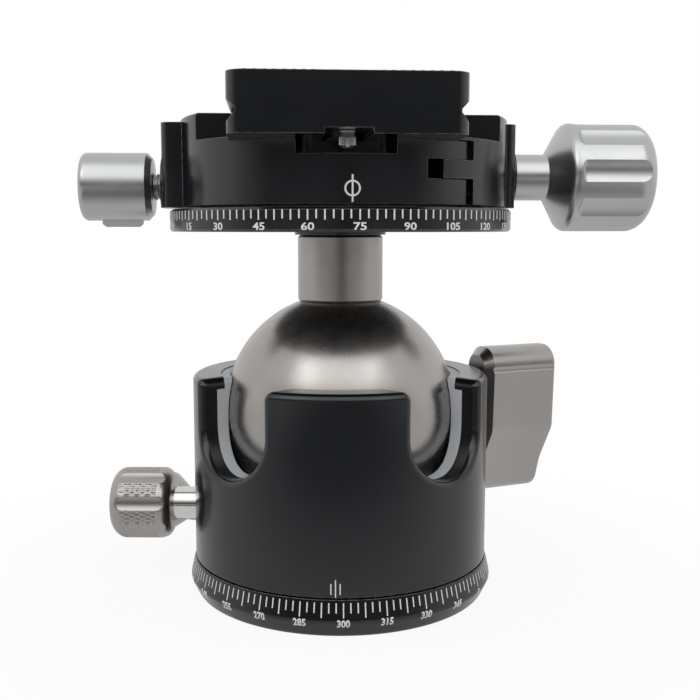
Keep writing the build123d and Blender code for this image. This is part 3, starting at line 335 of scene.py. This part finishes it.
def alongJoint(name):
    # Matrix in mm that puts a piece made along +X on a joint's axis, pointing out from the head
    joint = joints[name]
    axis = -Vector(joint["axis"])
    turn = math.atan2(axis.y, axis.x)
    place = Vector(joint["pos_m"]) / mm
    return Matrix.Translation(place) @ Matrix.Rotation(turn, 4, "Z")


def standUp(x, y=0.0):
    # Matrix in mm that stands a piece made along +X upright at x and y
    return Matrix.Translation((x, y, 0)) @ Matrix.Rotation(math.radians(-90), 4, "Y")


def share(value):
    # Kept between 0 and 1
    return max(0.0, min(1.0, value))


# Scales and index marks, each height in mm from the metal's own top or underside
paint = {
    "proud": 0.04, "sunk": 0.05,                     # mm over the metal and into it
    "tickSteps": 4,                                  # stretches of a tick, so that it follows the metal
    "curveSteps": 3, "extrude": 0.5, "cell": 0.09,   # numerals, in the font's own units
    "probeFrom": 0.2, "probeTurn": 0.7,              # metres and radians, where a radius is measured
    "smooth": 20,
}
discTop = lowOf("top_washer")
baseTop = lowOf("pan_washer")
discScale = {
    "body": "ball", "node": "pan_disc", "zeroAt": -163.15,   # azimuth of 0, degrees
    "tickEvery": 2.5, "longEvery": 2, "numberEvery": 15,     # degrees, ticks, degrees
    "tickTop": discTop - 0.42, "longBottom": discTop - 2.06, "shortBottom": discTop - 1.84, "tickWidth": 0.25,
    "numberTop": discTop - 2.45, "numberHeight": 1.24, "squeeze": 1.34, "bold": 0.022,
}
baseScale = {
    "body": "base", "node": "base_plate", "zeroAt": -32.7,
    "tickEvery": 2.5, "longEvery": 3, "numberEvery": 15,
    "tickTop": baseTop - 0.48, "longBottom": baseTop - 2.88, "shortBottom": baseTop - 2.12, "tickWidth": 0.22,
    "numberTop": baseTop - 3.18, "numberHeight": 1.42, "squeeze": 0.82, "bold": 0.034,
}


def sideOf(node):
    # Radius of a round node at a height, read from its own faces
    mesh = nodes[node].data
    surface = BVHTree.FromPolygons([v.co for v in mesh.vertices], [p.vertices for p in mesh.polygons])
    out = Vector((math.cos(paint["probeTurn"]), math.sin(paint["probeTurn"]), 0))

    def radiusAt(height):
        start = out * paint["probeFrom"] + Vector((0, 0, height * mm))
        hit = surface.ray_cast(start, -out)[0]
        return math.hypot(hit.x, hit.y) / mm
    return radiusAt


def wrapMark(shape, azimuth, height, radiusAt):
    # (right, up, out) in mm, laid round the head's axis
    points, faces = shape
    wrapped = []
    for right, up, out in points:
        radius = radiusAt(height + up)
        angle = math.radians(azimuth) + right / radius
        reach = radius + out
        wrapped.append((reach * math.cos(angle), reach * math.sin(angle), height + up))
    return wrapped, faces


def stroke(left, right):
    # Corners of a painted line's section, as (across, out)
    return [(left, -paint["sunk"]), (right, -paint["sunk"]), (right, paint["proud"]), (left, paint["proud"])]


def tickShape(width, length):
    # A thin bar from 0 down to -length
    rings = []
    for number in range(paint["tickSteps"] + 1):
        up = -length * number / paint["tickSteps"]
        rings.append([(right, up, out) for right, out in stroke(-width / 2, width / 2)])
    return lathe(rings)


def sliceUp(mesh, step):
    # Cuts a numeral into small cells, so that it can follow the curved metal
    work = bmesh.new()
    work.from_mesh(mesh)
    bmesh.ops.triangulate(work, faces=work.faces[:])
    for axis, across in enumerate((Vector((1, 0, 0)), Vector((0, 1, 0)))):
        places = [vertex.co[axis] for vertex in work.verts]
        for number in range(1, math.ceil((max(places) - min(places)) / step)):
            everything = work.verts[:] + work.edges[:] + work.faces[:]
            cut = across * (min(places) + number * step)
            bmesh.ops.bisect_plane(work, geom=everything, plane_co=cut, plane_no=across)
    work.to_mesh(mesh)
    work.free()


def numberShape(text, look):
    curve = bpy.data.curves.new("numeral", "FONT")
    curve.body = text
    curve.resolution_u = paint["curveSteps"]
    curve.offset = look["bold"]
    curve.extrude = paint["extrude"]
    holder = bpy.data.objects.new("numeral", curve)
    scene.collection.objects.link(holder)
    bpy.context.view_layer.update()
    mesh = bpy.data.meshes.new_from_object(holder.evaluated_get(bpy.context.evaluated_depsgraph_get()))
    sliceUp(mesh, paint["cell"])
    raw = [tuple(vertex.co) for vertex in mesh.vertices]
    faces = [tuple(polygon.vertices) for polygon in mesh.polygons]
    bpy.data.objects.remove(holder)
    bpy.data.curves.remove(curve)
    bpy.data.meshes.remove(mesh)
    middle = (min(point[0] for point in raw) + max(point[0] for point in raw)) / 2
    low = min(point[1] for point in raw)
    scale = look["numberHeight"] / (max(point[1] for point in raw) - low)
    points = []
    for across, up, out in raw:
        depth = paint["proud"] if out > 0 else -paint["sunk"]
        right = (across - middle) * scale * look["squeeze"]
        points.append((right, (up - low) * scale - look["numberHeight"], depth))
    return points, faces


def makeScale(name, look):
    radiusAt = sideOf(look["node"])
    marks = []
    for number in range(round(360 / look["tickEvery"])):
        bottom = look["longBottom"] if number % look["longEvery"] == 0 else look["shortBottom"]
        bar = tickShape(look["tickWidth"], look["tickTop"] - bottom)
        marks.append(wrapMark(bar, look["zeroAt"] + number * look["tickEvery"], look["tickTop"], radiusAt))
    for value in range(0, 360, look["numberEvery"]):
        text = numberShape(str(value), look)
        marks.append(wrapMark(text, look["zeroAt"] + value, look["numberTop"], radiusAt))
    newPiece(name, joinShapes(marks), "white_marking", look["body"], paint["smooth"])


makeScale("disc_scale", discScale)
makeScale("base_scale", baseScale)

clampIndex = {   # a ring with a bar down through it
    "azimuth": -90, "centre": lowOf("clamp_body") + 2.62,
    "radius": 1.16, "around": 40, "line": 0.30, "reach": 2.17,
}
housingLow = lowOf("housing")
housingIndex = {   # a long bar between two short ones, each from its top to its bottom
    "azimuth": -95.45, "gap": 0.78, "width": 0.20,
    "middle": (housingLow + 3.15, housingLow + 0.12), "side": (housingLow + 2.5, housingLow + 0.6),
}


def makeClampIndex(look):
    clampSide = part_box("clamp_body")[1][1] / mm

    def radiusAt(height):
        return clampSide   # it stands upright

    half = look["line"] / 2
    rings = []
    for number in range(look["around"]):
        angle = -2 * math.pi * number / look["around"]   # clockwise, so that the faces look outwards
        rings.append([(radius * math.cos(angle), radius * math.sin(angle), out)
                      for radius, out in stroke(look["radius"] - half, look["radius"] + half)])
    bar = tickShape(look["line"], 2 * look["reach"])
    marks = [
        wrapMark(bar, look["azimuth"], look["centre"] + look["reach"], radiusAt),
        wrapMark(lathe(rings, loop=True), look["azimuth"], look["centre"], radiusAt),
    ]
    newPiece("clamp_index", joinShapes(marks), "white_marking", "clamp", paint["smooth"])


def makeHousingIndex(look):
    radiusAt = sideOf("housing")
    marks = []
    for offset in (-1, 0, 1):
        top, bottom = look["middle"] if offset == 0 else look["side"]
        points, faces = tickShape(look["width"], top - bottom)
        shifted = [(right + offset * look["gap"], up, out) for right, up, out in points]
        marks.append(wrapMark((shifted, faces), look["azimuth"], top, radiusAt))
    newPiece("housing_index", joinShapes(marks), "white_marking", "housing", paint["smooth"])


makeClampIndex(clampIndex)
makeHousingIndex(housingIndex)
print("scales and index marks done")


# Friction knob, with knurled panels between smooth flutes
frictionKnob = {
    "start": 32.5, "end": 44.35, "radius": 6.93,               # mm, out along the screw from its joint
    "nearEdge": 2.3, "nearSteps": 10, "nearCentre": 0.62,      # rounded end towards the head
    "farRound": 3.2, "farSteps": 14, "farCentre": 0.6,         # and away from it
    "flutes": 8, "firstFlute": 12.8, "fluteRadius": 3.2, "fluteDepth": 0.42,
    "fluteHalf": 11.5, "panelFade": 1.2, "fluteLimit": 12.5,   # degrees from a flute's middle
    "plainWithin": 3.0,                                        # mm from the axis, on both end faces
    "knurlAlong": 2.0, "knurlAround": 0.86, "knurlDepth": 0.17, "knurlPower": 0.8,
    "startFade": 0.3, "stopShort": 1.6, "stopFade": 0.8,       # mm, how the knurl begins and ends
    "around": 384, "alongStep": 0.11, "smooth": 40,
}


def knobProfile(look):
    # (along, radius) from the near end to the far one
    length = look["end"] - look["start"]
    radius = look["radius"]
    near = look["nearEdge"]
    far = look["farRound"]
    profile = [(0.0, look["nearCentre"]), (0.0, radius - near)]
    for number in range(1, look["nearSteps"]):
        angle = math.pi / 2 * number / look["nearSteps"]
        profile.append((near * (1 - math.cos(angle)), radius - near * (1 - math.sin(angle))))
    steps = int((length - far - near) / look["alongStep"])
    for number in range(steps + 1):
        profile.append((near + (length - far - near) * number / steps, radius))
    for number in range(1, look["farSteps"] + 1):
        angle = math.pi / 2 * number / look["farSteps"]
        profile.append((length - far * (1 - math.sin(angle)), radius - far * (1 - math.cos(angle))))
    profile.append((length, look["farCentre"]))
    return profile


def knurl(around, along, look):
    # Depth of the long diamonds: two crossing rows of V grooves
    across = around / look["knurlAround"]
    down = along / look["knurlAlong"]
    first = abs((across + down) % 1 - 0.5) * 2
    second = abs((across - down) % 1 - 0.5) * 2
    return look["knurlDepth"] * (1 - min(first, second) ** look["knurlPower"])


def knobReach(angle, along, radius, look):
    # Distance from the knob's axis, with the knurl and the flutes cut
    if radius < look["plainWithin"]:
        return radius
    spacing = 360 / look["flutes"]
    between = (math.degrees(angle) - look["firstFlute"]) % spacing
    off = min(between, spacing - between)   # degrees from the nearest flute's middle
    started = (along - look["nearEdge"]) / look["startFade"]
    unfinished = (look["end"] - look["start"] - look["stopShort"] - along) / look["stopFade"]
    panel = share((off - look["fluteHalf"]) / look["panelFade"])
    reach = radius - knurl(angle * look["radius"], along, look) * panel * share(min(started, unfinished))
    fluteCentre = look["radius"] - look["fluteDepth"] + look["fluteRadius"]
    swing = math.radians(off)
    inside = look["fluteRadius"] ** 2 - (fluteCentre * math.sin(swing)) ** 2
    if inside > 0 and off < look["fluteLimit"]:
        reach = min(reach, fluteCentre * math.cos(swing) - math.sqrt(inside))
    return reach


def makeFrictionKnob(look):
    rings = []
    for along, radius in knobProfile(look):
        ring = []
        for number in range(look["around"]):
            angle = 2 * math.pi * number / look["around"]
            reach = knobReach(angle, along, radius, look)
            ring.append((look["start"] + along, -reach * math.sin(angle), reach * math.cos(angle)))
        rings.append(ring)
    knob = moved(lathe(rings), alongJoint("friction_turn"))
    piece = newPiece("friction_knob_knurled", knob, "titanium_knurled", "friction_knob", look["smooth"])
    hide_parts("friction_knob")


makeFrictionKnob(frictionKnob)
print("friction knob done")


# Ribbed pads on the plate
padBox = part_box("plate_pads")
padTop = padBox[1][2] / mm
plateMiddle = (padBox[0][0] + padBox[1][0]) / 2 / mm
padLook = {
    "centre": plateMiddle, "inner": 4.6, "outer": (padBox[1][0] - padBox[0][0]) / 2 / mm,
    "halfLength": padBox[1][1] / mm, "corner": 1.0,
    "bottom": padTop - 1.1, "valley": padTop - 0.32, "crest": padTop, "pitch": 1.5,
    "crestWidth": 1.5,                                   # over 1, the ribs are flat on top
    "sideFall": 0.15, "endRound": 0.25, "endEdge": (0.08, 0.07),
    "columns": 88, "smooth": 30,
}


def padRow(across, look):
    # (along, up) over one line of a pad, so far from the plate's middle
    toEdge = min(across - look["inner"], look["outer"] - across)
    corner = look["corner"]
    half = look["halfLength"]
    if toEdge < corner:
        half -= corner - math.sqrt(max(0.0, corner ** 2 - (corner - toEdge) ** 2))
    rib = 0.5 - 0.5 * math.cos(2 * math.pi * (across - look["inner"]) / look["pitch"])
    top = look["valley"] + (look["crest"] - look["valley"]) * share(rib * look["crestWidth"])
    if toEdge < look["sideFall"]:
        top = min(top, look["valley"] + toEdge)
    inwards, down = look["endEdge"]
    end = [(half, look["bottom"]), (half, top - look["endRound"]),
           (half - inwards, top - down), (half - look["endRound"], top)]
    return [(-along, up) for along, up in end] + end[::-1]


def makePads(look):
    pads = []
    for side in (-1, 1):
        rows = []
        for number in range(look["columns"] + 1):
            across = look["inner"] + (look["outer"] - look["inner"]) * number / look["columns"]
            rows.append([(look["centre"] + side * across, along, up) for along, up in padRow(across, look)])
        pads.append(lathe(rows[::-side]))   # so that the faces of both pads look outwards
    piece = newPiece("plate_pads_ribbed", joinShapes(pads), "pad_rubber", "plate", look["smooth"])
    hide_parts("plate_pads")


makePads(padLook)
print("plate pads done")


# Screws, made along +X
threadForm = {
    "flank": 1.25, "root": 0.1,            # the V has a narrow flat at its crest and its root
    "endDepth": 0.05, "endInset": 0.15,    # share of the depth and mm, where a thread runs out
}


def threadRings(start, end, look):
    # Rings whose radius follows a V thread
    rings = []
    count = max(2, int((end - start) / look["pitch"] * look["perTurn"]))
    for number in range(count + 1):
        along = start + (end - start) * number / count
        full = min(1.0, min(along - start, end - along) / look["runOut"] + threadForm["endDepth"])
        ring = []
        for step in range(look["around"]):
            angle = 2 * math.pi * step / look["around"]
            wave = abs((along / look["pitch"] - step / look["around"]) % 1 - 0.5) * 2
            crest = share(wave * threadForm["flank"] - threadForm["root"])
            reach = look["radius"] - look["depth"] * (1 - crest) * full - threadForm["endInset"] * (1 - full)
            ring.append((along, reach * math.cos(angle), reach * math.sin(angle)))
        rings.append(ring)
    return rings


def profileRings(profile, look):
    # Rows of (along, radius, kind); a kind is round, ridged or hex
    rings = []
    for along, radius, kind in profile:
        ring = []
        for step in range(look["around"]):
            angle = 2 * math.pi * step / look["around"]
            reach = radius
            if kind == "ridged":
                reach -= look["ridgeDepth"] * (0.5 + 0.5 * math.cos(look["ridges"] * angle))
            if kind == "hex":
                reach *= math.cos(math.pi / 6) / math.cos(angle % (math.pi / 3) - math.pi / 6)
            ring.append((along, reach * math.cos(angle), reach * math.sin(angle)))
        rings.append(ring)
    return rings


def headProfile(look):
    # Bevelled head with fine ridges round it; a bevel is (along, inwards)
    bottom = look["headBottom"]
    top = look["headTop"]
    radius = look["headRadius"]
    up, bottomInset = look["bottomBevel"]
    down, topInset = look["topBevel"]
    return [
        (bottom, radius - bottomInset, "round"),
        (bottom + up, radius - look["bandInset"], "round"),
        (bottom + up + look["ridgeStart"], radius, "ridged"),
        (top - down - look["ridgeStart"], radius, "ridged"),
        (top - down, radius - look["bandInset"], "round"),
        (top, radius - topInset, "round"),
    ]


upperLockScrew = {
    "start": 12.9, "threadEnd": 35.0, "shankStart": 35.02, "grip": 42.7,
    "radius": 2.5, "pitch": 0.8, "depth": 0.42, "runOut": 0.6,
    "around": 64, "perTurn": 12, "smooth": 50,
}


def makeUpperLockScrew(look):
    shank = [(look["shankStart"], look["radius"], "round"), (look["grip"], look["radius"], "round")]
    rings = threadRings(look["start"], look["threadEnd"], look) + profileRings(shank, look)
    screw = moved(lathe(rings), alongJoint("clamp_lock_turn"))
    piece = newPiece("clamp_lock_screw_threaded", screw, "steel", "clamp_lock_knob", look["smooth"])
    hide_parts("clamp_lock_screw")


makeUpperLockScrew(upperLockScrew)

screwLow = lowOf("camera_screw")
cameraScrew = {
    "x": plateMiddle, "headBottom": screwLow, "headTop": screwLow + 3.6, "headRadius": 6.8,
    "socket": 2.9, "socketDepth": 2.5, "socketBevel": 0.15, "bottomBevel": (0.4, 0.5), "topBevel": (0.4, 0.3),
    "ridges": 36, "ridgeDepth": 0.18, "ridgeStart": 0.05, "bandInset": 0.0,
    "neckStart": screwLow + 6.6, "neckRadius": 2.7, "neckBevel": 0.3,
    "threadStart": screwLow + 9.0, "end": topOf("camera_screw"), "tipInset": 0.75,
    "radius": 3.175, "pitch": 1.27, "depth": 0.62, "runOut": 0.4,
    "around": 144, "perTurn": 24, "smooth": 40,
}


def makeCameraScrew(look):
    bottom = look["headBottom"]
    shank = [
        (bottom + look["socketDepth"], look["socket"], "hex"),
        (bottom + look["socketBevel"], look["socket"], "hex"),
        (bottom, look["socket"] + look["socketBevel"], "hex"),
        *headProfile(look),
        (look["headTop"], look["radius"], "round"),
        (look["neckStart"], look["radius"], "round"),
        (look["neckStart"] + look["neckBevel"], look["neckRadius"], "round"),
        (look["threadStart"] - look["neckBevel"], look["neckRadius"], "round"),
    ]
    tip = [(look["end"], look["radius"] - look["tipInset"], "round")]
    thread = threadRings(look["threadStart"], look["end"], look)
    rings = profileRings(shank, look) + thread + profileRings(tip, look)
    screw = moved(lathe(rings), standUp(look["x"]))
    piece = newPiece("camera_screw_threaded", screw, "steel", "camera_screw", look["smooth"])
    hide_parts("camera_screw")


makeCameraScrew(cameraScrew)

stopLow = lowOf("stop_screws")
stopScrew = {
    "x": plateMiddle, "y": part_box("stop_screws")[1][1] / mm - 1.5,
    "headBottom": stopLow + 0.3, "headTop": stopLow + 2.9, "headRadius": 1.36,
    "shank": 1.0, "end": topOf("stop_screws"),
    "socket": 0.8, "socketDepth": 1.2, "bottomBevel": (0.25, 0.28), "topBevel": (0.2, 0.1),
    "ridges": 20, "ridgeDepth": 0.14, "ridgeStart": 0.05, "bandInset": 0.02,
    "around": 120, "smooth": 40,
}


def makeStopScrews(look):
    bottom = look["headBottom"]
    profile = [
        (bottom + look["socketDepth"], look["socket"], "hex"),
        (bottom, look["socket"], "hex"),
        *headProfile(look),
        (look["headTop"], look["shank"], "round"),
        (look["end"], look["shank"], "round"),
    ]
    screw = lathe(profileRings(profile, look))
    pair = [moved(screw, standUp(look["x"], side * look["y"])) for side in (-1, 1)]
    piece = newPiece("stop_screws_knurled", joinShapes(pair), "polished_steel", "plate", look["smooth"])
    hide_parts("stop_screws")


makeStopScrews(stopScrew)
print("screws done")


# Floor: it holds the head's shadow near by, and further out it is as white as the room
floorLook = {
    "half": 4.0, "drop": 0.00002,   # metres
    "colour": (0.80, 0.80, 0.80), "fleck": (0.82, 0.82, 0.82), "fleckScale": 900,
    "rough": 0.9, "specular": 0.1,
    "cameraGlow": 0.92, "shadowReach": 0.05, "whiteFrom": 0.11,
    # nearGlow is the floor's glow in mirrored rays; front is its painted shade there, in front of the head
    "nearGlow": 0.70, "front": 0.17, "frontFrom": 0.04, "frontTo": 0.13,   # metres in front of the head
    "frontHalf": (0.09, 0.20),                                             # and to each side
}
roomLook = {
    "walls": 0.85, "front": 0.08, "frontFrom": 0.12, "frontTo": 0.62, "toFront": (-0.06, -1.0, 0.0),
    "darkBelow": 0.18, "lightAbove": 0.42, "diffuse": 0.62,
}
white = (1, 1, 1)


def rayKinds(tree):
    # 1 on rays straight from the camera, and 1 on rays mirrored by metal or passed by glass
    path = addNode(tree, "ShaderNodeLightPath")
    mirrored = joinMath(tree, "ADD", path.outputs["Is Glossy Ray"], path.outputs["Is Transmission Ray"])
    return path.outputs["Is Camera Ray"], mirrored


def mixShaders(tree, factor, first, second):
    mix = addNode(tree, "ShaderNodeMixShader")
    feed(tree, mix.inputs["Fac"], factor)
    feed(tree, mix.inputs[1], first)
    feed(tree, mix.inputs[2], second)
    return mix.outputs["Shader"]


def makeFloor(look, room):
    half = look["half"]
    mesh = bpy.data.meshes.new("floor")
    corners = [(-half, -half, 0), (half, -half, 0), (half, half, 0), (-half, half, 0)]
    mesh.from_pydata(corners, [], [(0, 1, 2, 3)])
    floor = bpy.data.objects.new("floor", mesh)
    floor.location.z = -look["drop"]
    scene.collection.objects.link(floor)
    material, tree, shader = newFinish("floor_paper")
    shader.inputs["Roughness"].default_value = look["rough"]
    shader.inputs["Specular IOR Level"].default_value = look["specular"]
    fleck = noiseAt(tree, look["fleckScale"], noiseDetail["grain"])
    feed(tree, shader.inputs["Base Color"], mixColours(tree, fleck, look["colour"], look["fleck"]))
    place = addNode(tree, "ShaderNodeTexCoord").outputs["Object"]
    length = addNode(tree, "ShaderNodeVectorMath", operation="LENGTH")
    feed(tree, length.inputs[0], place)
    away = length.outputs["Value"]
    whiteness = spread(tree, away, look["cameraGlow"], 1.0, look["shadowReach"], look["whiteFrom"])
    seen, mirrored = rayKinds(tree)
    # painted shade: in mirrored rays the floor glows, but darker in a patch in front of the head, which stands in
    # for shade falling there
    ahead = spread(tree, facing(tree, place, room["toFront"]), 0.0, 1.0, look["frontFrom"], look["frontTo"])
    aside = joinMath(tree, "ABSOLUTE", facing(tree, place, (1, 0, 0)), 0.0)
    between = spread(tree, aside, 1.0, 0.0, *look["frontHalf"])
    frontShade = joinMath(tree, "MULTIPLY", ahead, between)
    mirrorLevel = spread(tree, frontShade, look["nearGlow"], look["front"], 0.0, 1.0)
    glow = addNode(tree, "ShaderNodeEmission")
    feed(tree, glow.inputs["Color"], white)
    feed(tree, glow.inputs["Strength"], joinMath(tree, "MAXIMUM", seen, mirrorLevel))
    glowShare = joinMath(tree, "MAXIMUM", joinMath(tree, "MULTIPLY", seen, whiteness), mirrored)
    surface = mixShaders(tree, glowShare, shader.outputs["BSDF"], glow.outputs["Emission"])
    feed(tree, tree.nodes["Material Output"].inputs["Surface"], surface)
    mesh.materials.append(material)


makeFloor(floorLook, roomLook)


def makeWorld(look):
    # A white room, darker low down in front of the head
    world = bpy.data.worlds.new("room")
    scene.world = world
    world.use_nodes = True
    tree = world.node_tree
    place = addNode(tree, "ShaderNodeTexCoord").outputs["Generated"]
    front = spread(tree, facing(tree, place, look["toFront"]), 0.0, 1.0, look["frontFrom"], look["frontTo"])
    low = spread(tree, facing(tree, place, (0, 0, 1)), 1.0, 0.0, look["darkBelow"], look["lightAbove"])
    level = spread(tree, joinMath(tree, "MULTIPLY", front, low), look["walls"], look["front"], 0.0, 1.0)
    walls = tree.nodes["Background"]
    feed(tree, walls.inputs["Color"], white)
    feed(tree, walls.inputs["Strength"], look["diffuse"])
    seen, mirrored = rayKinds(tree)
    backdrop = addNode(tree, "ShaderNodeBackground")
    feed(tree, backdrop.inputs["Color"], white)
    feed(tree, backdrop.inputs["Strength"], joinMath(tree, "MAXIMUM", seen, level))
    backdropShare = joinMath(tree, "MAXIMUM", seen, mirrored)
    surface = mixShaders(tree, backdropShare, walls.outputs["Background"], backdrop.outputs["Background"])
    feed(tree, tree.nodes["World Output"].inputs["Surface"], surface)


makeWorld(roomLook)

lampAim = (0, 0, 0.045)   # metres, near the middle of the head
lamps = {
    "frontSoftbox": {"place": (-0.04, -0.38, 0.54), "size": (0.90, 0.58), "watts": 1.22},
    "leftSoftbox": {"place": (-0.37, -0.36, 0.43), "size": (0.26, 0.26), "watts": 0.20},
    "rightSoftbox": {"place": (0.34, -0.39, 0.43), "size": (0.26, 0.26), "watts": 0.10},
}


def makeLamp(name, look):
    data = bpy.data.lights.new(name, "AREA")
    data.shape = "RECTANGLE"
    data.size, data.size_y = look["size"]
    data.energy = look["watts"]
    lamp = bpy.data.objects.new(name, data)
    lamp.location = look["place"]
    aim = Vector(lampAim) - Vector(look["place"])
    lamp.rotation_euler = aim.to_track_quat("-Z", "Y").to_euler()
    scene.collection.objects.link(lamp)


for lampName, lampLook in lamps.items():
    makeLamp(lampName, lampLook)
print("stage done")
